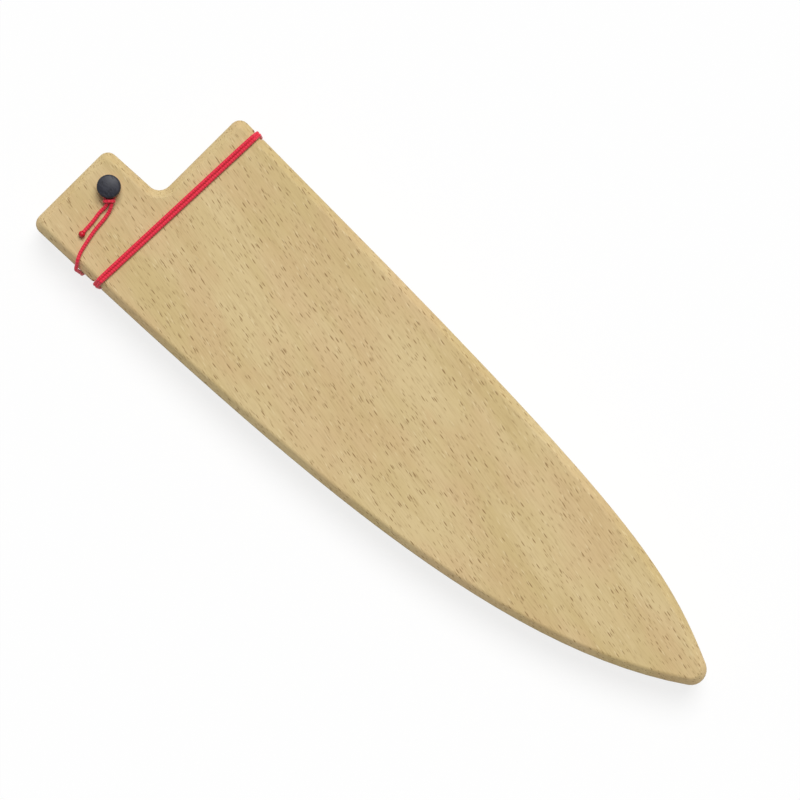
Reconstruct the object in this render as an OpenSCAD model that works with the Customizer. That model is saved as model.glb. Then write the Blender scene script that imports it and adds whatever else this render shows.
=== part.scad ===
// Wooden blade guard for a chef's knife: two cheeks glued over spacer strips,
// a turned pin through the tab behind the blade's heel, and one braided cord
// that is wound round the guard and hitched to the pin.

/* [Guard outline] */
// Length from the mouth to the tip
body_len = 207; // [195:1:225]
// Length of the tab past the mouth
tab_len = 20; // [18:1:26]
// Height of the spine edge above the centre line
spine_h = 31; // [29:0.5:33]
// Depth of the belly edge below the centre line, at the tab
belly_h = 32.8; // [31:0.1:35]
// Height of the tip above the centre line
tip_h = 11.1; // [9:0.1:13]
// Radius of the tip
tip_r = 4.5; // [3.5:0.1:6]
// Radius of the outer corners
corner_r = 3; // [2.6:0.1:4]
// Depth of the tab's upper edge below the centre line
tab_drop = 1.4; // [0:0.1:2.5]
// Radius of the fillet in the handle notch
notch_r = 4; // [3:0.1:5]
// Width of the bevel round both faces
bevel = 2; // [1.2:0.1:2.3]

/* [Boards] */
// Thickness of each cheek
cheek_t = 4.8; // [4:0.1:6]
// Thickness of the spacers, which is the width of the slot
slot_t = 4.4; // [4.2:0.1:6]
// Width of the spacer strip along the spine
spine_strip = 5; // [4:0.5:7]
// Width of the spacer strip along the belly
belly_strip = 6; // [5:0.5:8]

/* [Locking pin] */
// Distance from the mouth to the pin, along the tab
pin_back = 11.5; // [9.5:0.1:12.5]
// Depth of the pin below the centre line
pin_drop = 9.6; // [8.6:0.1:12]
// Diameter of the head
head_d = 6.8; // [6:0.1:7.6]
// Height of the head
head_t = 3.2; // [2.5:0.1:4.5]
// Diameter of the neck that the cord is hitched to
neck_d = 3.8; // [3:0.1:4.4]
// Diameter of the shaft
shaft_d = 5; // [4.6:0.1:5.6]
// Radial running clearance of the shaft in its hole
pin_clear = 0.1; // [0.05:0.01:0.1]
// How far the shaft's end stays inside the back face
pin_short = 0.8; // [0.3:0.1:2]

/* [Cord] */
// Diameter of the braided cord
cord_d = 1.15; // [1:0.05:1.3]
// Clearance between the cord and what it lies on
cord_clear = 0.05; // [0.02:0.01:0.1]
// Turns of the winding
turns = 2; // [1:1:3]
// Gap between neighbouring turns
turn_gap = 0.45; // [0.42:0.01:0.8]
// Distance from the mouth to the winding, at the spine
wind_spine_x = 7.5; // [6.5:0.1:12]
// Distance from the mouth to the winding, at the belly
wind_belly_x = 5.4; // [5:0.1:12]
// Depth of the groove that holds the winding in each long edge
groove_d = 0.55; // [0.3:0.05:0.8]
// Diameter of the melted bead at the tail's end
bead_d = 2; // [1.6:0.1:2.4]

/* [Hidden] */

beech = [0.82, 0.72, 0.54];
beech_edge = [0.76, 0.65, 0.46];
slate = [0.22, 0.22, 0.26];
red = [0.86, 0.08, 0.16];

// Heights, from the surface that the guard lies on
cord_r = cord_d / 2;
back_z = cord_d + cord_clear;
slot_low = back_z + cheek_t;
slot_high = slot_low + slot_t;
front_z = slot_high + cheek_t;
cord_off = cord_r + cord_clear;

// The middle of the object's box, from the mouth and the centre line
mid_x = (body_len - tab_len) / 2;
mid_y = (spine_h - groove_d + cord_off + cord_r - belly_h) / 2;
pin_at = [-pin_back - mid_x, -pin_drop - mid_y];

function unit(v) = v / norm(v);
function arc(c, r, from, to, steps) =
    [for (i = [0:steps]) let (a = from + (to - from) * i / steps) c + r * [cos(a), sin(a)]];
function bezier(a, b, c, d, t) =
    pow(1 - t, 3) * a + 3 * pow(1 - t, 2) * t * b + 3 * (1 - t) * t * t * c + pow(t, 3) * d;
function curve(a, b, c, d, steps) =
    [for (i = [0:steps]) bezier(a, b, c, d, i / steps)];
// A closed outline moved inwards by d, each edge parallel to where it was
function inset(pts, d) = [for (i = [0:len(pts) - 1])
    let (before = unit(pts[i] - pts[(i + len(pts) - 1) % len(pts)]),
         after = unit(pts[(i + 1) % len(pts)] - pts[i]),
         side = [-before.y, before.x],
         lean = unit(side + [-after.y, after.x]))
    pts[i] + lean * d / (lean * side)];

// Slopes of the edges, in degrees, and the reach of each curve's handles
belly_start_a = 2.1;
belly_end_a = 35;
spine_end_a = 23.5;
tab_a = 3.1;
belly_reach = 96;
belly_tip_reach = 56;
spine_reach = 0.74 * body_len;
spine_tip_reach = 32;
curve_steps = 28;
corner_steps = 5;

tip_c = [body_len - tip_r, tip_h];
belly_from = [-tab_len + corner_r, -belly_h + corner_r]
    + corner_r * [sin(belly_start_a), -cos(belly_start_a)];
belly_to = tip_c + tip_r * [sin(belly_end_a), -cos(belly_end_a)];
spine_from = tip_c + tip_r * [sin(spine_end_a), cos(spine_end_a)];
spine_to = [corner_r, spine_h];
tab_top = -tab_drop - (tab_len - corner_r - notch_r) * tan(tab_a);

belly = curve(belly_from,
              belly_from + belly_reach * [cos(belly_start_a), sin(belly_start_a)],
              belly_to - belly_tip_reach * [cos(belly_end_a), sin(belly_end_a)],
              belly_to, curve_steps);
spine = curve(spine_from,
              spine_from + spine_tip_reach * [-cos(spine_end_a), sin(spine_end_a)],
              [spine_reach, spine_h],
              spine_to, curve_steps);
tip = arc(tip_c, tip_r, belly_end_a - 90, 90 - spine_end_a, 8);
mouth_corner = arc([corner_r, spine_h - corner_r], corner_r, 90, 180, corner_steps);
notch = arc([-notch_r, notch_r - tab_drop], notch_r, 0, -90 - tab_a, 6);
tab_corner = arc([-tab_len + corner_r, tab_top - corner_r], corner_r, 90 + tab_a, 180, corner_steps);
belly_corner = arc([-tab_len + corner_r, -belly_h + corner_r], corner_r,
                   180, 270 + belly_start_a, corner_steps);

function tail_of(pts) = [for (i = [1:len(pts) - 1]) pts[i]];
outline_raw = concat(belly, tail_of(tip), tail_of(spine), tail_of(mouth_corner), notch,
                     tab_corner, [for (i = [0:len(belly_corner) - 2]) belly_corner[i]]);
outline = [for (p = outline_raw) p - [mid_x, mid_y]];

// The slot's outline: the inner sides of the two strips, open at the mouth and the tab
belly_inner = inset(belly, belly_strip);
spine_inner = inset(spine, spine_strip);
tip_inner = [body_len - tip_r - belly_strip, tip_h];
slot_raw = concat([[-tab_len - 1, belly_inner[1].y]],
                  [for (i = [1:curve_steps - 2]) belly_inner[i]], [tip_inner],
                  [for (i = [2:curve_steps - 1]) spine_inner[i]],
                  [[-1, spine_h - spine_strip], [-tab_len - 1, spine_h - spine_strip]]);
slot = [for (p = slot_raw) p - [mid_x, mid_y]];

// Where the winding lies in its grooves
ring_r = cord_r / cos(30);
pitch = 2 * ring_r + turn_gap;
groove_w = turns * pitch + 0.2;
spine_y = spine_h - groove_d - mid_y;
belly_wood_y = lookup(wind_belly_x, belly);
belly_y = belly_wood_y + groove_d - mid_y;
chamfer = bevel - groove_d;

// The wood's section at the winding, from the back near the spine, over the front
section = [[spine_y - chamfer, back_z], [spine_y, back_z + chamfer],
           [spine_y, front_z - chamfer], [spine_y - chamfer, front_z],
           [belly_y + chamfer, front_z], [belly_y, front_z - chamfer],
           [belly_y, back_z + chamfer], [belly_y + chamfer, back_z]];
function spine_x(n) = wind_spine_x + (n - (turns - 1) / 2) * pitch - mid_x;
function belly_x(n) = wind_belly_x + (n - (turns - 1) / 2) * pitch - mid_x;
// One place on the winding: the turn n, the section's corner k and the angle a there
function wound(n, k, a) =
    let (y = section[k].x + cord_off * cos(a),
         z = section[k].y + cord_off * sin(a),
         share = max(0, min(1, (section[k].x - belly_y) / (spine_y - belly_y))),
         from = belly_x(k == 0 ? n - 1 : n),
         to = spine_x(k == 7 ? n + 1 : n))
    [from + (to - from) * (k == 0 ? 1 : share), y, z, a];
wind_end_y = -12;
wind_start = [-0.2 - mid_x, -29.4 - mid_y, back_z - cord_off, -90];
wind_end = [belly_x(turns - 1) + 1.2, wind_end_y, back_z - cord_off, 270];
winding = concat([wind_start],
    [for (n = [0:turns - 1], k = [0:7], j = [0:2]) wound(n, k, -90 + 45 * k + 22.5 * j)],
    [wind_end]);

// Routes of the cord's free stretches, chosen by hand: the distance from the mouth,
// the height over the centre line, the height of the cord's middle over the front
// face, and the side that faces away from the wood, in degrees
leash_route = [
    [-7.6, -12.55, 1.62, 90], [-7.2, -13.1, 1.45, 90], [-6.6, -14.6, 0.8, 90],
    [-6.2, -16.5, 0.65, 90], [-6.0, -18.2, 0.63, 90], [-5.8, -20.4, 0.63, 90],
    [-5.5, -22.4, 0.63, 90], [-5.1, -24.4, 0.63, 90], [-4.7, -26.2, 0.63, 90],
    [-4.3, -27.9, 0.63, 90], [-3.8, -29.3, 0.63, 90], [-3.1, -30.7, 0.6, 112],
    [-2.4, -31.9, -0.5, 135], [-1.8, -32.9, -1.7, 157], [-1.2, -32.85, -3.5, 180],
    [-0.9, -32.85, -6.0, 180], [-0.7, -32.85, -8.5, 180], [-0.6, -32.85, -10.7, 180],
    [-0.5, -32.9, -12.2, 202], [-0.4, -31.8, -13.3, 225], [-0.3, -30.6, -14.5, 250],
    [-0.2, -29.4, -14.625, 270]];
tail_route = [
    [-8.6, -13.4, 1.62, 90], [-8.4, -13.8, 1.5, 90], [-8.3, -14.8, 1.0, 90],
    [-8.35, -15.8, 0.72, 90], [-8.3, -17.2, 0.63, 90], [-8.0, -19.0, 0.63, 90], [-7.8, -20.8, 0.63, 90],
    [-7.7, -22.6, 0.63, 90], [-7.6, -24.0, 0.8, 90]];
bead_at = [-7.5, -24.6];
function placed(route) = [for (p = route) [p.x - mid_x, p.y - mid_y, p.z + front_z, p[3]]];

// The hitch, seen from the pin: towards its legs, to their left, over the front face
hitch_a = -45;
hitch_h = cord_off;
hitch_r = neck_d / 2 + pin_clear + cord_r / cos(22.5);
leg_gap = 0.66;
knot_out = 4.1;
function hitched(p) = [pin_at.x + p.x * cos(hitch_a) - p.y * sin(hitch_a),
                       pin_at.y + p.x * sin(hitch_a) + p.y * cos(hitch_a), p.z + front_z, 90];
hitch_route = concat(
    [[4.75, leg_gap, 1.62], [knot_out, leg_gap, 1.64], [3.3, 1.0, 0.75]],
    [for (a = [42:23:318]) [hitch_r * cos(a), hitch_r * sin(a), hitch_h]],
    [[3.3, -1.0, 0.75], [knot_out, -leg_gap, 1.64], [4.75, -leg_gap, 1.62]]);
knot_w = 1.32;
knot_low = 0.63;
knot_high = 2.72;
knot_steps = 14;

function tube_ring(route, i, sides) =
    let (at = [for (p = route) [p.x, p.y, p.z]],
         along = unit(at[min(i + 1, len(at) - 1)] - at[max(i - 1, 0)]),
         out = [0, cos(route[i][3]), sin(route[i][3])],
         up = unit(out - (out * along) * along),
         side = cross(along, up))
    [for (k = [0:sides - 1]) let (a = (k + 0.5) * 360 / sides)
        at[i] + cord_r / cos(180 / sides) * (cos(a) * up + sin(a) * side)];

// Least gap between two places on a route that lie more than a few diameters apart along it
function finer(route, parts) = [for (i = [0:len(route) - 2], j = [0:parts - 1])
    let (a = route[i], b = route[i + 1], t = j / parts)
    [a.x + (b.x - a.x) * t, a.y + (b.y - a.y) * t, a.z + (b.z - a.z) * t]];
function least_gap(pts, apart) = min([for (i = [0:len(pts) - 1 - apart])
    min([for (j = [i + apart:len(pts) - 1]) norm(pts[i] - pts[j])])]) - 2 * ring_r;
echo(least_gap_between_turns = least_gap(finer(winding, 6), 60));

// A skin over a row of rings
module loft(rings) {
    n = len(rings[0]);
    m = len(rings);
    polyhedron(points = [for (r = rings) each r],
        faces = concat([[for (i = [0:n - 1]) i], [for (i = [0:n - 1]) m * n - 1 - i]],
            [for (k = [0:m - 2], i = [0:n - 1], half = [0, 1])
                let (j = (i + 1) % n, a = k * n, b = a + n)
                half == 0 ? [a + i, b + i, b + j] : [a + i, b + j, a + j]]));
}

module tube(route, sides) {
    loft([for (i = [0:len(route) - 1]) tube_ring(route, i, sides)]);
}

// A body with the guard's outline, taller than a cheek, whose upper part leans in as the bevel
over = 0.5;
module bevelled() {
    loft([for (p = [[0, slot_high - over], [0, front_z - bevel], [bevel + over, front_z + over]])
        [for (q = inset(outline, p.x)) [q.x, q.y, p.y]]]);
}

module pin_hole() {
    translate([pin_at.x, pin_at.y, back_z - 1])
        cylinder(r = shaft_d / 2 + pin_clear, h = front_z - back_z + 2, $fn = 48);
}

// The shallow grooves across both long edges, which keep the winding in place
module cord_grooves() {
    translate([wind_spine_x - mid_x - groove_w / 2, spine_y, back_z - 1])
        cube([groove_w, 2 * groove_d, front_z - back_z + 2]);
    translate([wind_belly_x - mid_x - groove_w / 2, belly_y - 2 * groove_d, back_z - 1])
        cube([groove_w, 2 * groove_d, front_z - back_z + 2]);
}

module cheek() {
    color(beech) difference() {
        intersection() {
            translate([-mid_x - tab_len - 1, -mid_y - 2 * belly_h, slot_high])
                cube([body_len + tab_len + 2, 4 * belly_h, cheek_t]);
            bevelled();
        }
        pin_hole();
        cord_grooves();
    }
}

module front_cheek() {
    cheek();
}

module back_cheek() {
    translate([0, 0, slot_low + slot_high]) mirror([0, 0, 1]) cheek();
}

// The strips meet in a mitre at the tip, level with the tip's middle
module strip(above) {
    difference() {
        translate([0, 0, slot_low]) linear_extrude(slot_t) intersection() {
            difference() {
                polygon(outline);
                polygon(slot);
            }
            translate([-mid_x - tab_len - 1, above ? tip_h - mid_y : tip_h - mid_y - 2 * belly_h])
                square([body_len + tab_len + 2, 2 * belly_h]);
        }
        cord_grooves();
    }
}

module spine_spacer() {
    color(beech_edge) strip(true);
}

module belly_spacer() {
    color(beech_edge) strip(false);
}

// Heights on the pin, over the front face, and the roundings of its edges
head_gap = 0.3;
head_low = cord_d + cord_clear + head_gap;
dome = 0.5;
head_round = 0.7;
shoulder = 0.15;
module locking_pin() {
    shaft_low = back_z + pin_short - front_z;
    head_top = head_low + head_t;
    side_r = head_d / 2;
    color(slate) translate([pin_at.x, pin_at.y, front_z]) rotate_extrude($fn = 48)
        polygon(concat(
            [[0, shaft_low], [shaft_d / 2 - head_round, shaft_low],
             [shaft_d / 2, shaft_low + head_round], [shaft_d / 2, -shoulder],
             [neck_d / 2, -shoulder + 0.1], [neck_d / 2, head_low],
             [side_r - 0.4, head_low], [side_r, head_low + 0.4]],
            arc([side_r - head_round, head_top - head_round - dome], head_round, 0, 75, 4),
            [[side_r / 2, head_top - 0.25 * dome], [0, head_top]]));
}

module cord_winding() {
    color(red) tube(winding, 6);
}

module pin_leash() {
    color(red) tube(placed(leash_route), 8);
}

module pin_hitch() {
    color(red) {
        tube([for (p = hitch_route) hitched(p)], 8);
        loft([for (i = [0:knot_steps])
            let (a = -70 + 320 * i / knot_steps, mid = (knot_low + knot_high) / 2,
                 half = (knot_high - knot_low) / 2)
            [for (k = [0:7]) let (b = (k + 0.5) * 45, r = cord_r)
                hitched_at([knot_out + r * cos(b) * 0.95,
                            (knot_w + r * sin(b)) * cos(a), mid + (half + r * sin(b)) * sin(a)])]]);
    }
}
function hitched_at(p) = let (q = hitched(p)) [q.x, q.y, q.z];

module cord_tail() {
    color(red) {
        tube(placed(tail_route), 8);
        translate([bead_at.x - mid_x, bead_at.y - mid_y, front_z + bead_d / 2 + cord_clear])
            sphere(d = bead_d, $fn = 24);
    }
}

front_cheek();
back_cheek();
spine_spacer();
belly_spacer();
locking_pin();
cord_winding();
pin_leash();
pin_hitch();
cord_tail();
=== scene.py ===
import math
import random

import bmesh
import bpy
import numpy as np
from mathutils import Matrix, Vector


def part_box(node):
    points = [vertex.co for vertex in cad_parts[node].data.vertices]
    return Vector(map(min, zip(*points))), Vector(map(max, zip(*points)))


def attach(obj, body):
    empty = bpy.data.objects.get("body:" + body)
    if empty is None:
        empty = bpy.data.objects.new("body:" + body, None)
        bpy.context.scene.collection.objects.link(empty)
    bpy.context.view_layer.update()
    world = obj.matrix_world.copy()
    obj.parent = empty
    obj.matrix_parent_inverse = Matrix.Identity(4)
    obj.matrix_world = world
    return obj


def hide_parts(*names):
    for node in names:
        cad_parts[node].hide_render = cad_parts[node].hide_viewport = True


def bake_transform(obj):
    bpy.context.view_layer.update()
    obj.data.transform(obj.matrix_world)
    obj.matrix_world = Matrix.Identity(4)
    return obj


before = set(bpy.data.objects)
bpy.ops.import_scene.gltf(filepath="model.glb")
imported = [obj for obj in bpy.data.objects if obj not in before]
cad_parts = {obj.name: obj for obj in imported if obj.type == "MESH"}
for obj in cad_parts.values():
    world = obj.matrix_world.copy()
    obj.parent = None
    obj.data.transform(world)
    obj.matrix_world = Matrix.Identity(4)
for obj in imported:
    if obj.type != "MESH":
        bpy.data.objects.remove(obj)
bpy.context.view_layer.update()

mm = 0.001

# Places that every piece shares, read from the frame
boardLow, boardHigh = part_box("front_cheek")
pinLow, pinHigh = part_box("locking_pin")
frontZ = boardHigh.z
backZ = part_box("back_cheek")[0].z
guard = {
    "tabLength": 20 * mm,
    "bellyDepth": 32.8 * mm,  # from the centre line to the belly edge
}
mouthX = boardLow.x + guard["tabLength"]
centreY = boardLow.y + guard["bellyDepth"]
pinAt = Vector(((pinLow.x + pinHigh.x) / 2, (pinLow.y + pinHigh.y) / 2, frontZ))


def fromMouth(x, y, h):  # a place given from the mouth, the centre line and the front face, in mm
    return Vector((mouthX + x * mm, centreY + y * mm, frontZ + h * mm))


def newPiece(name, mesh):
    piece = bpy.data.objects.new(name, mesh)
    bpy.context.scene.collection.objects.link(piece)
    return piece


def ringSkin(rings, sides):  # the faces over a row of rings, closed at both ends
    faces = []
    for i in range(rings - 1):
        for k in range(sides):
            j = (k + 1) % sides
            faces.append((i * sides + k, i * sides + j, (i + 1) * sides + j, (i + 1) * sides + k))
    faces.append(tuple(reversed(range(sides))))
    faces.append(tuple(range((rings - 1) * sides, rings * sides)))
    return faces


# Camera: straight above, turned so that the guard lies across the picture as in the photograph
camera = {
    "turn": 45.2,  # degrees between the guard's length and the picture's width
    "pictureWidth": 800,
    "pixel": 0.2843 * mm,  # at the front face
    "middle": (89.6, 6.35),  # what the picture's middle shows, from the mouth and the centre line
    "height": 1.1,
    "sensor": 36,
    "nearest": 0.01,
    "furthest": 20,
}


def makeCamera():
    bpy.context.scene.view_settings.view_transform = "Standard"
    data = bpy.data.cameras.new("photoCamera")
    data.sensor_width = camera["sensor"]
    data.lens = camera["sensor"] * camera["height"] / (camera["pictureWidth"] * camera["pixel"])
    data.clip_start = camera["nearest"]
    data.clip_end = camera["furthest"]
    seat = newPiece("photoCamera", data)
    seat.location = fromMouth(*camera["middle"], 0) + Vector((0, 0, camera["height"]))
    seat.rotation_euler = (0, 0, math.radians(camera["turn"]))
    bpy.context.scene.camera = seat


# Shader maths: a socket that can be added, multiplied and so on
class Wire:
    def __init__(self, finish, socket):
        self.finish = finish
        self.socket = socket

    def other(self, name):  # another output of the same node
        return Wire(self.finish, self.socket.node.outputs[name])

    def maths(self, operation, first, second):
        return self.finish.add("ShaderNodeMath", {"operation": operation}, {0: first, 1: second})

    def __add__(self, other):
        return self.maths("ADD", self, other)

    def __radd__(self, other):
        return self.maths("ADD", other, self)

    def __sub__(self, other):
        return self.maths("SUBTRACT", self, other)

    def __rsub__(self, other):
        return self.maths("SUBTRACT", other, self)

    def __mul__(self, other):
        return self.maths("MULTIPLY", self, other)

    def __rmul__(self, other):
        return self.maths("MULTIPLY", other, self)


class Finish:
    def __init__(self, name):
        self.material = bpy.data.materials.new(name)
        self.material.use_nodes = True
        self.tree = self.material.node_tree
        self.shader = self.tree.nodes["Principled BSDF"]

    def add(self, kind, settings=None, sockets=None, out=0):
        made = self.tree.nodes.new(kind)
        for key, value in (settings or {}).items():
            setattr(made, key, value)
        for key, value in (sockets or {}).items():
            self.plug(made.inputs[key], value)
        return Wire(self, made.outputs[out])

    def plug(self, socket, value):
        if isinstance(value, Wire):
            self.tree.links.new(value.socket, socket)
        else:
            socket.default_value = value

    def surface(self, **sockets):
        for key, value in sockets.items():
            self.plug(self.shader.inputs[key.replace("_", " ")], value)
        return self.material

    def place(self):
        return self.add("ShaderNodeTexCoord", out="Object")

    def stretched(self, vector, scale, shift=(0, 0, 0)):
        return self.add("ShaderNodeMapping", None, {"Vector": vector, "Scale": scale, "Location": shift})

    def noise(self, vector, detail=2.0, roughness=0.5):
        return self.add("ShaderNodeTexNoise", None,
                        {"Vector": vector, "Scale": 1.0, "Detail": detail, "Roughness": roughness})

    def step(self, value, start, end):  # 0 before start, 1 after end, smooth between them
        return self.add("ShaderNodeMapRange", {"interpolation_type": "SMOOTHSTEP"},
                        {"Value": value, "From Min": start, "From Max": end})

    def mix(self, share, first, second):
        return self.add("ShaderNodeMix", {"data_type": "RGBA"}, {0: share, 6: first, 7: second}, out=2)

    def either(self, first, second):  # 1 where one of the two is met
        return self.add("ShaderNodeMath", {"operation": "MAXIMUM"}, {0: first, 1: second})

    def bump(self, height, strength, distance):
        return self.add("ShaderNodeBump", None,
                        {"Height": height, "Strength": strength, "Distance": distance})


def shade(red, green, blue):  # a colour as it shows on a screen, 0 to 255, made linear
    def one(value):
        share = value / 255
        return share / 12.92 if share <= 0.04045 else ((share + 0.055) / 1.055) ** 2.4
    return (one(red), one(green), one(blue), 1)


# Cord: a tight round braid, made as a fine tube whose skin carries the crossing strands
cord = {
    "diameter": 1.15 * mm,
    "step": 0.12 * mm,
    "sides": 20,
    "strands": 4,
    "lay": 1.6 * mm,  # how far along the cord a strand takes to go round it
    "relief": 0.05,
    "red": shade(242, 32, 68),
    # painted shade: a darker red laid into the valleys between the braid's strands
    "valleyShade": shade(196, 8, 38),
    "valleyShadeToRed": (0.1, 0.8),
    # painted sheen: a light pink scattered over the fibres
    "paintedSheen": shade(252, 84, 110),
    "paintedSheenWhere": (0.5, 0.75),
    "paintedSheenShare": 0.3,
    "fibre": (2600, 2600, 2600),
    "fibreDepth": 0.03 * mm,
    "curveSteps": 12,  # between two points of a given route
}


def evenRoute(fine, step):  # the same line in equal steps
    run = np.concatenate([[0], np.cumsum([(q - p).length for p, q in zip(fine, fine[1:])])])
    count = max(2, round(run[-1] / step))
    even = np.linspace(0, run[-1], count + 1)
    line = np.array(fine)
    return [Vector([np.interp(s, run, line[:, axis]) for axis in range(3)]) for s in even]


def smoothRoute(points, step):  # a smooth line through given points
    ends = [points[0] * 2 - points[1], *points, points[-1] * 2 - points[-2]]
    fine = []
    for i in range(1, len(ends) - 2):
        a, b, c, d = ends[i - 1:i + 3]
        for j in range(cord["curveSteps"]):
            t = j / cord["curveSteps"]
            fine.append(0.5 * ((2 * b) + (c - a) * t + (2 * a - 5 * b + 4 * c - d) * t * t
                               + (3 * b - a - 3 * c + d) * t ** 3))
    fine.append(points[-1])
    return evenRoute(fine, step)


def braidTube(name, line):
    sides, radius, strands = cord["sides"], cord["diameter"] / 2, cord["strands"]
    count = len(line)
    along = [(line[min(i + 1, count - 1)] - line[max(i - 1, 0)]).normalized() for i in range(count)]
    up = along[0].orthogonal().normalized()
    verts, weave = [], []
    run = 0.0
    for i in range(count):
        up = (up - along[i] * up.dot(along[i])).normalized()
        side = along[i].cross(up)
        turn = 2 * math.pi * run / cord["lay"]
        for k in range(sides):
            angle = 2 * math.pi * k / sides
            braid = math.cos(strands * angle + turn) * math.cos(strands * angle - turn)
            grown = radius * (1 - cord["relief"] + cord["relief"] * braid)
            verts.append(line[i] + up * (math.cos(angle) * grown) + side * (math.sin(angle) * grown))
            weave.append(0.5 + 0.5 * braid)
        if i + 1 < count:
            run += (line[i + 1] - line[i]).length
    faces = ringSkin(count, sides)
    mesh = bpy.data.meshes.new(name)
    mesh.from_pydata([tuple(v) for v in verts], [], faces)
    mesh.attributes.new("weave", "FLOAT", "POINT").data.foreach_set("value", weave)
    mesh.polygons.foreach_set("use_smooth", [True] * (len(faces) - 2) + [False] * 2)
    return newPiece(name, mesh)


def cordFinish():
    made = Finish("redBraid")
    woven = made.add("ShaderNodeAttribute", {"attribute_name": "weave"}, out="Fac")
    fibre = made.noise(made.stretched(made.place(), cord["fibre"]), 3, 0.6)
    # painted shade: the low parts of the weave take the darker red
    colour = made.mix(made.step(woven, *cord["valleyShadeToRed"]), cord["valleyShade"], cord["red"])
    # painted sheen: light pink mixed in where the fibre pattern is high
    colour = made.mix(made.step(fibre, *cord["paintedSheenWhere"]) * cord["paintedSheenShare"], colour, cord["paintedSheen"])
    return made.surface(Base_Color=colour, Roughness=0.5 + fibre * 0.2, Specular_IOR_Level=0.45,
                        Sheen_Weight=0.25, Normal=made.bump(fibre, 0.3, cord["fibreDepth"]))


# The winding: two turns side by side, drawn together where they go over the edges
winding = {
    "turns": 2,
    "atSpine": 7.5,  # from the mouth
    "atBelly": 5.4,
    "spineY": 30.45,  # bottoms of the grooves, from the centre line
    "bellyY": -31.45,
    "chamfer": 1.45,
    "spread": 1.12,  # between the turns on the faces
    "edgeSpread": 0.84,  # and over the edges
    "off": 0.6,  # from the wood to the cord's middle
    "closing": 6,  # how far from an edge the turns begin to close up
    "arcSteps": 5,
    "faceSteps": 24,
    "start": (-0.2, -29.4),
    "endY": -12,
    "endRun": 8,  # the last stretch on the back
    "endLean": 0.3,
}


def windingRoute():
    w = winding
    depth = (frontZ - backZ) / mm
    spine, belly, cut, off = w["spineY"], w["bellyY"], w["chamfer"], w["off"]
    section = [(spine - cut, -depth), (spine, cut - depth), (spine, -cut), (spine - cut, 0),
               (belly + cut, 0), (belly, -cut), (belly, cut - depth), (belly + cut, -depth)]
    bend = 360 / len(section)
    beforeFront = 3  # the corner after which the cord crosses the front face
    middle = (w["turns"] - 1) / 2

    def across(turn, y):  # the turns lie apart on the front and close up towards the edges
        share = max(0, min(1, (y - belly) / (spine - belly)))
        near = max(0, 1 - min(spine - y, y - belly) / w["closing"])
        spread = w["spread"] + (w["edgeSpread"] - w["spread"]) * near ** 2
        return w["atBelly"] + (w["atSpine"] - w["atBelly"]) * share + (turn - middle) * spread

    points = [fromMouth(*w["start"], -depth - off)]
    for turn in range(w["turns"]):
        for k, (y, h) in enumerate(section):
            for i in range(w["arcSteps"] + 1):
                a = math.radians(-90 + bend * (k + i / w["arcSteps"]))
                points.append(fromMouth(across(turn, y), y + off * math.cos(a), h + off * math.sin(a)))
            if k == beforeFront:
                for i in range(1, w["faceSteps"]):
                    y2 = spine - cut + (belly - spine + 2 * cut) * i / w["faceSteps"]
                    points.append(fromMouth(across(turn, y2), y2, off))
    last = w["atBelly"] + middle * w["edgeSpread"]
    points.append(fromMouth(last + w["endLean"], w["endY"] - w["endRun"], -depth - off))
    points.append(fromMouth(last + 2 * w["endLean"], w["endY"], -depth - off))
    return points


# The free stretch from the guard to the pin and the tail, point for point as in the CAD source
leashRoute = [
    (-7.6, -12.55, 1.62), (-7.2, -13.1, 1.45), (-6.6, -14.6, 0.8), (-6.2, -16.5, 0.65),
    (-6.0, -18.2, 0.63), (-5.8, -20.4, 0.63), (-5.5, -22.4, 0.63), (-5.1, -24.4, 0.63),
    (-4.7, -26.2, 0.63), (-4.3, -27.9, 0.63), (-3.8, -29.3, 0.63), (-3.1, -30.7, 0.6),
    (-2.4, -31.9, -0.5), (-1.8, -32.9, -1.7), (-1.2, -32.85, -3.5), (-0.9, -32.85, -6.0),
    (-0.7, -32.85, -8.5), (-0.6, -32.85, -10.7), (-0.5, -32.9, -12.2), (-0.4, -31.8, -13.3),
    (-0.3, -30.6, -14.5), (-0.2, -29.4, -14.625)]
leashGives = {"from": (-3.8, -29.3, 0.6), "to": (-7.4, -12.8, 0.6)}  # two places along the leash; the script reads them but makes nothing from them
tailRoute = [
    (-8.6, -13.4, 1.62), (-8.4, -13.8, 1.5), (-8.3, -14.8, 1.0),
    (-8.35, -15.8, 0.72), (-8.3, -17.2, 0.63), (-8.0, -19.0, 0.63), (-7.8, -20.8, 0.63),
    (-7.7, -22.6, 0.63), (-7.6, -24.0, 0.8)]

# The hitch round the pin's neck. Places are from the pin: towards the legs, to their left, upwards
hitch = {
    "turn": -45,
    "radius": 2.55,
    "height": 0.62,
    "ringAngles": range(42, 319, 23),
    "legsPart": (3.3, 1.0, 0.75),
    "leg": 0.62,
    "legKnot": 1.64,
    "legEnd": (4.78, 1.62),
    "knotOut": 4.1,
    "knotWidth": 1.32,
    "knotLow": 0.63,
    "knotHigh": 2.72,
    "knotFrom": -70,
    "knotSweep": 320,
    "knotSteps": 16,
}


def hitched(out, left, up):
    angle = math.radians(hitch["turn"])
    return pinAt + Vector((out * math.cos(angle) - left * math.sin(angle),
                           out * math.sin(angle) + left * math.cos(angle), up)) * mm


def hitchRoute():
    leg, out, up = hitch["leg"], hitch["knotOut"], hitch["legKnot"]
    endOut, endUp = hitch["legEnd"]
    partOut, partLeft, partUp = hitch["legsPart"]
    ring = [(hitch["radius"] * math.cos(math.radians(a)), hitch["radius"] * math.sin(math.radians(a)),
             hitch["height"]) for a in hitch["ringAngles"]]
    local = [(endOut, leg, endUp), (out, leg, up), (partOut, partLeft, partUp), *ring,
             (partOut, -partLeft, partUp), (out, -leg, up), (endOut, -leg, endUp)]
    return [hitched(*p) for p in local]


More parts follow.
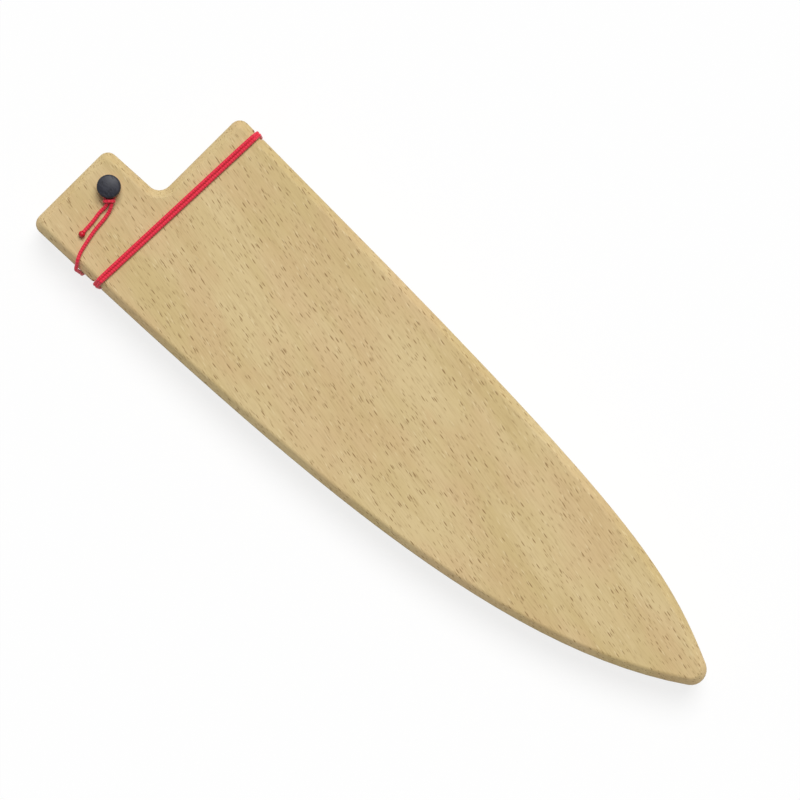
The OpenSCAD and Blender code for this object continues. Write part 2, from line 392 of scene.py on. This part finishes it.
def knotRoute():
    middle = (hitch["knotLow"] + hitch["knotHigh"]) / 2
    half = (hitch["knotHigh"] - hitch["knotLow"]) / 2
    steps = hitch["knotSteps"]
    angles = [math.radians(hitch["knotFrom"] + hitch["knotSweep"] * i / steps) for i in range(steps + 1)]
    return [hitched(hitch["knotOut"], hitch["knotWidth"] * math.cos(a), middle + half * math.sin(a))
            for a in angles]


# The melted end of the tail, a little lopsided
bead = {
    "at": (-7.5, -24.6, 1.0),
    "radius": 1.0 * mm,
    "rings": 20,
    "sides": 28,
    "seed": 7,
    "lumps": 7,
    "lumpSize": (-0.09, 0.05),
    "height": 0.96,
    "red": shade(206, 10, 40),
    "dark": shade(150, 4, 24),
    "darkWhere": (0.4, 0.7),
    "unevenness": (900, 900, 900),
    "unevenDepth": 0.08 * mm,
}


def beadPiece():
    draw = random.Random(bead["seed"])
    form = bmesh.new()
    bmesh.ops.create_uvsphere(form, u_segments=bead["sides"], v_segments=bead["rings"],
                              radius=bead["radius"])
    lumps = [(Vector((draw.uniform(-1, 1), draw.uniform(-1, 1), draw.uniform(-1, 1))).normalized(),
              draw.uniform(*bead["lumpSize"])) for lump in range(bead["lumps"])]
    for v in form.verts:
        out = v.co.normalized()
        v.co *= 1 + sum(size * max(0, out.dot(way)) ** 3 for way, size in lumps)
        v.co.z *= bead["height"]
    for face in form.faces:
        face.smooth = True
    mesh = bpy.data.meshes.new("tailBead")
    form.to_mesh(mesh)
    form.free()
    mesh.transform(Matrix.Translation(fromMouth(*bead["at"])))
    mesh.materials.append(beadFinish())
    return newPiece("tailBead", mesh)


def beadFinish():
    made = Finish("meltedBead")
    lump = made.noise(made.stretched(made.place(), bead["unevenness"]), 3)
    colour = made.mix(made.step(lump, *bead["darkWhere"]), bead["red"], bead["dark"])
    return made.surface(Base_Color=colour, Roughness=0.28 + lump * 0.2,
                        Normal=made.bump(lump, 0.4, bead["unevenDepth"]))


def makeCords():
    step = cord["step"]
    wound = braidTube("windingCord", evenRoute(windingRoute(), step))
    leashLine = smoothRoute([fromMouth(*p) for p in reversed(leashRoute)], step)
    leash = braidTube("leashCord", leashLine)
    loop = braidTube("hitchLoop", smoothRoute(hitchRoute(), step))
    knot = braidTube("hitchKnot", smoothRoute(knotRoute(), step))
    tail = braidTube("tailCord", smoothRoute([fromMouth(*p) for p in tailRoute], step))
    end = beadPiece()
    braid = cordFinish()
    for piece in (wound, leash, loop, knot, tail):
        piece.data.materials.append(braid)
    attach(wound, "guard")
    for piece in (loop, knot, tail, end):
        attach(piece, "hitch")
    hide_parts("cord_winding")
    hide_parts("pin_hitch")
    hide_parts("cord_tail")
    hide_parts("pin_leash")
    fromMouth(*leashGives["from"])
    fromMouth(*leashGives["to"])
    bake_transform(leash)


# Beech: warm tan with slow streaks, fine pores and the short dark flecks of its rays
beech = {
    "pale": shade(216, 193, 143),
    "tan": shade(206, 182, 128),
    "pink": shade(210, 178, 132),
    "fleck": shade(146, 114, 70),
    "speck": shade(230, 210, 164),
    "slant": 9,  # degrees between the grain and the guard's length
    "wander": (30, 60, 60),  # how fine each pattern is, along the grain and across it
    "streak": (16, 110, 110),
    "patch": (45, 80, 80),
    "pore": (150, 2600, 2600),
    "wanderBy": (1.2 * mm, 0.8 * mm),  # how far the grain strays sideways and in depth
    "streakWhere": (0.35, 0.65),
    "patchWhere": (0.4, 0.66),
    "poreWhere": (0.42, 0.7),
    "poreDepth": 0.03 * mm,
    "fleckLength": 5.0 * mm,  # room for one fleck along the grain
    "fleckWidth": 0.8 * mm,
    "fleckFade": 0.25,  # from the flecks left out to those in full
    # Each kind of fleck: shift, where it ends, where it is full, the share left out, size
    "dark": (0, 0.25, 0.12, 0.25, 1.0),
    "fine": (0.37, 0.28, 0.10, 0.15, 0.7),
    "faint": (0.53, 0.30, 0.10, 0.1, 0.85),
    "light": (0.16, 0.30, 0.08, 0.1, 1.0),
    "shares": {"pink": 0.5, "pore": 0.2, "light": 0.5, "faint": 0.35, "fine": 0.7, "dark": 0.9},
    "seeds": {"frontBoard": 11, "backBoard": 23, "spineStrip": 37, "bellyStrip": 41},
}


def beechFinish(name, seed):
    wood = Finish(name)
    draw = random.Random(seed)
    shift = tuple(draw.uniform(3, 9) for axis in range(3))
    here = wood.add("ShaderNodeVectorRotate", {"rotation_type": "Z_AXIS"},
                    {"Vector": wood.place(), "Angle": math.radians(beech["slant"])})
    wander = wood.noise(wood.stretched(here, beech["wander"], shift), 2)
    sideways, inward = beech["wanderBy"]
    strayed = wood.add("ShaderNodeCombineXYZ", None, {"Y": wander * sideways, "Z": wander * inward})
    bent = wood.add("ShaderNodeVectorMath", {"operation": "ADD"}, {0: here, 1: strayed})

    streak = wood.noise(wood.stretched(bent, beech["streak"], shift), 3, 0.5)
    patch = wood.noise(wood.stretched(here, beech["patch"], shift), 3)
    pore = wood.noise(wood.stretched(bent, beech["pore"], shift), 3, 0.6)
    cell = (1 / beech["fleckLength"], 1 / beech["fleckWidth"], 1 / beech["fleckWidth"])

    def flecks(moved, ends, full, leftOut, size):
        vector = wood.stretched(bent, tuple(c / size for c in cell), tuple(s + moved for s in shift))
        near = wood.add("ShaderNodeTexVoronoi", {"feature": "F1"}, {"Vector": vector, "Scale": 1.0})
        pick = wood.add("ShaderNodeSeparateColor", None, {0: near.other("Color")})
        return wood.step(near, ends, full) * wood.step(pick, leftOut, leftOut + beech["fleckFade"])

    dark, fine, faint, light = (flecks(*beech[kind]) for kind in ("dark", "fine", "faint", "light"))
    shares = beech["shares"]
    ground = wood.mix(wood.step(streak, *beech["streakWhere"]), beech["pale"], beech["tan"])
    ground = wood.mix(wood.step(patch, *beech["patchWhere"]) * shares["pink"], ground, beech["pink"])
    ground = wood.mix(wood.step(pore, *beech["poreWhere"]) * shares["pore"], ground, beech["fleck"])
    ground = wood.mix(light * shares["light"], ground, beech["speck"])
    for kind, mask in (("faint", faint), ("fine", fine), ("dark", dark)):
        ground = wood.mix(mask * shares[kind], ground, beech["fleck"])

    height = pore * 0.35 - dark * 0.6 - fine * 0.3
    return wood.surface(Base_Color=ground, Roughness=0.52 + pore * 0.14, Specular_IOR_Level=0.32,
                        Normal=wood.bump(height, 0.35, beech["poreDepth"]))


# Boards: the solids of the frame, with their bevels' edges softened as sanding leaves them
softening = {
    "radius": 0.55 * mm,
    "segments": 4,
    "weld": 0.002 * mm,
    "flat": 0.3,  # degrees under which two faces are one
    "bevelled": (35, 55),  # degrees at the edges of a bevel
    "sharp": 32,  # degrees from which an edge stays crisp
}


def boardPiece(name, node):
    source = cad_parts[node].data
    form = bmesh.new()
    corners = [form.verts.new(v.co) for v in source.vertices]
    for polygon in source.polygons:
        form.faces.new([corners[i] for i in polygon.vertices])
    bmesh.ops.remove_doubles(form, verts=form.verts, dist=softening["weld"])
    bmesh.ops.dissolve_limit(form, angle_limit=math.radians(softening["flat"]),
                             verts=form.verts, edges=form.edges)
    least, most = (math.radians(a) for a in softening["bevelled"])
    rim = [e for e in form.edges if e.is_manifold and least < e.calc_face_angle() < most
           and abs(e.verts[0].co.z - e.verts[1].co.z) < softening["weld"]]
    bmesh.ops.bevel(form, geom=rim, offset=softening["radius"], offset_type="OFFSET",
                    segments=softening["segments"], profile=0.5, affect="EDGES", clamp_overlap=True)
    for face in form.faces:
        face.smooth = True
    for edge in form.edges:
        edge.smooth = edge.is_manifold and edge.calc_face_angle() < math.radians(softening["sharp"])
    mesh = bpy.data.meshes.new(name)
    form.to_mesh(mesh)
    form.free()
    mesh.materials.append(beechFinish(name + "Beech", beech["seeds"][name]))
    piece = newPiece(name, mesh)
    normals = piece.modifiers.new("flatFaces", "WEIGHTED_NORMAL")
    normals.keep_sharp = True
    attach(piece, "guard")
    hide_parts(node)


# The pin: turned, stained near black, its top faintly cracked. Heights are over the front face
pin = {
    "axis": 0.02,  # radius at which the turned form ends in its middle
    "headRadius": 3.4,
    "headLow": 1.5,
    "headHigh": 4.7,
    "headUnder": 0.45,  # rounding under the head
    "headUnderHalf": 0.12,
    "rim": 0.7,
    "dome": 0.35,
    "domeRings": (0.85, 0.65, 0.4, 0.2),
    "neckRadius": 1.9,
    "neckRound": 0.1,
    "shaftRadius": 2.5,
    "shaftEnd": 0.7,  # rounding at the shaft's end
    "shoulder": (-0.4, -0.2, -0.12),
    "shoulderIn": 0.08,
    "sides": 72,
    "slate": shade(36, 37, 47),
    "worn": shade(54, 55, 65),
    "wornWhere": (0.35, 0.7),
    "crack": shade(18, 18, 24),
    "crackShare": 0.75,
    "crackEdge": (0.045, 0.01),
    "crackWhere": (0.5, 0.6),
    "crackCells": (240, 420, 300),
    "crackWarp": 500.0,
    "crackPatches": (260, 260, 260),
    "crackShift": (0.4, 0.1, 0),
    "grain": (500, 1500, 500),
    "depth": 0.06 * mm,
}


def pinProfile():  # radius and height, from the shaft's end to the middle of the head
    low = (pinLow.z - frontZ) / mm
    shaft, neck, head = pin["shaftRadius"], pin["neckRadius"], pin["headRadius"]
    under, half, turned = pin["headUnder"], pin["headUnderHalf"], pin["neckRound"]
    headLow, headHigh = pin["headLow"], pin["headHigh"]
    end, rim = pin["shaftEnd"], pin["rim"]
    first, second, third = pin["shoulder"]
    points = [(pin["axis"], low), (shaft - end, low)]
    points += [(shaft - end + end * math.sin(math.radians(a)), low + end - end * math.cos(math.radians(a)))
               for a in range(15, 91, 15)]
    points += [(shaft, first), (shaft - pin["shoulderIn"], second), (neck + turned, third), (neck, 0.0),
               (neck, headLow - turned), (neck + turned, headLow), (head - under, headLow),
               (head - half, headLow + half), (head, headLow + under)]
    rimAt = headHigh - pin["dome"] - rim
    points += [(head - rim + rim * math.cos(math.radians(a)), rimAt + rim * math.sin(math.radians(a)))
               for a in range(0, 81, 10)]
    outer, outerHeight = points[-1]
    points += [(outer * s, headHigh - (headHigh - outerHeight) * s * s) for s in pin["domeRings"]]
    points.append((pin["axis"], headHigh))
    return points


def pinFinish():
    made = Finish("slatePin")
    here = made.place()
    warp = made.add("ShaderNodeTexNoise", None, {"Vector": here, "Scale": pin["crackWarp"]}, out="Color")
    bent = made.add("ShaderNodeVectorMath", {"operation": "ADD"},
                    {0: made.stretched(here, pin["crackCells"]), 1: warp})
    gap = made.add("ShaderNodeTexVoronoi", {"feature": "DISTANCE_TO_EDGE"}, {"Vector": bent, "Scale": 1.0})
    grain = made.noise(made.stretched(here, pin["grain"]), 4, 0.6)
    kept = made.noise(made.stretched(here, pin["crackPatches"], pin["crackShift"]), 1)
    cracks = made.step(gap, *pin["crackEdge"]) * made.step(kept, *pin["crackWhere"])
    colour = made.mix(made.step(grain, *pin["wornWhere"]), pin["slate"], pin["worn"])
    colour = made.mix(cracks * pin["crackShare"], colour, pin["crack"])
    return made.surface(Base_Color=colour, Roughness=0.36 + grain * 0.25, Specular_IOR_Level=0.4,
                        Normal=made.bump(grain * 0.4 - cracks, 0.45, pin["depth"]))


def makePin():
    sides, profile = pin["sides"], pinProfile()
    turns = [2 * math.pi * k / sides for k in range(sides)]
    verts = [pinAt + Vector((r * math.cos(a), r * math.sin(a), h)) * mm for r, h in profile for a in turns]
    faces = ringSkin(len(profile), sides)
    mesh = bpy.data.meshes.new("turnedPin")
    mesh.from_pydata([tuple(v) for v in verts], [], faces)
    mesh.polygons.foreach_set("use_smooth", [True] * len(faces))
    mesh.materials.append(pinFinish())
    piece = newPiece("turnedPin", mesh)
    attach(piece, "pin")
    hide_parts("locking_pin")


# White floor that keeps a soft shadow, and plain soft light from above and the picture's top
studio = {
    "floorSize": 6,
    "floorLow": 0.2 * mm,
    "floorWhite": 0.98,
    "floorRoughness": 0.9,
    "shadowShare": 0.2,
    "fill": 0.24,
    "key": 2.72,
    "keySpread": 36,
    "keyFrom": (-0.25, 0.44, 0.86),
}


def makeFloor():
    made = Finish("paleFloor")
    rays = made.add("ShaderNodeLightPath", out="Is Camera Ray")
    seen = made.either(made.either(rays, rays.other("Is Glossy Ray")), rays.other("Is Transmission Ray"))
    white = studio["floorWhite"]
    made.surface(Base_Color=(white, white, white, 1), Roughness=studio["floorRoughness"])
    lit = Wire(made, made.shader.outputs[0])
    glow = made.add("ShaderNodeEmission", None, {"Color": (1, 1, 1, 1), "Strength": 1.0})
    both = made.add("ShaderNodeMixShader", None, {0: seen * (1 - studio["shadowShare"]), 1: lit, 2: glow})
    made.plug(made.tree.nodes["Material Output"].inputs["Surface"], both)
    bpy.ops.mesh.primitive_plane_add(size=studio["floorSize"], location=(0, 0, -studio["floorLow"]))
    floor = bpy.context.object
    floor.name = "studioFloor"
    floor.data.materials.append(made.material)


def makeLight():
    world = bpy.data.worlds.new("softSky")
    bpy.context.scene.world = world
    world.use_nodes = True
    sky = world.node_tree.nodes["Background"]
    sky.inputs["Color"].default_value = (1, 1, 1, 1)
    sky.inputs["Strength"].default_value = studio["fill"]

    lamp = bpy.data.lights.new("keyLight", "SUN")
    lamp.energy = studio["key"]
    lamp.angle = math.radians(studio["keySpread"])
    seat = newPiece("keyLight", lamp)
    seat.rotation_mode = "QUATERNION"
    seat.rotation_quaternion = Vector(studio["keyFrom"]).to_track_quat("Z", "Y")


print("camera and cords")
makeCamera()
makeCords()
print("boards")
boardPiece("frontBoard", "front_cheek")
boardPiece("backBoard", "back_cheek")
boardPiece("spineStrip", "spine_spacer")
boardPiece("bellyStrip", "belly_spacer")
print("pin")
makePin()
print("studio")
makeFloor()
makeLight()
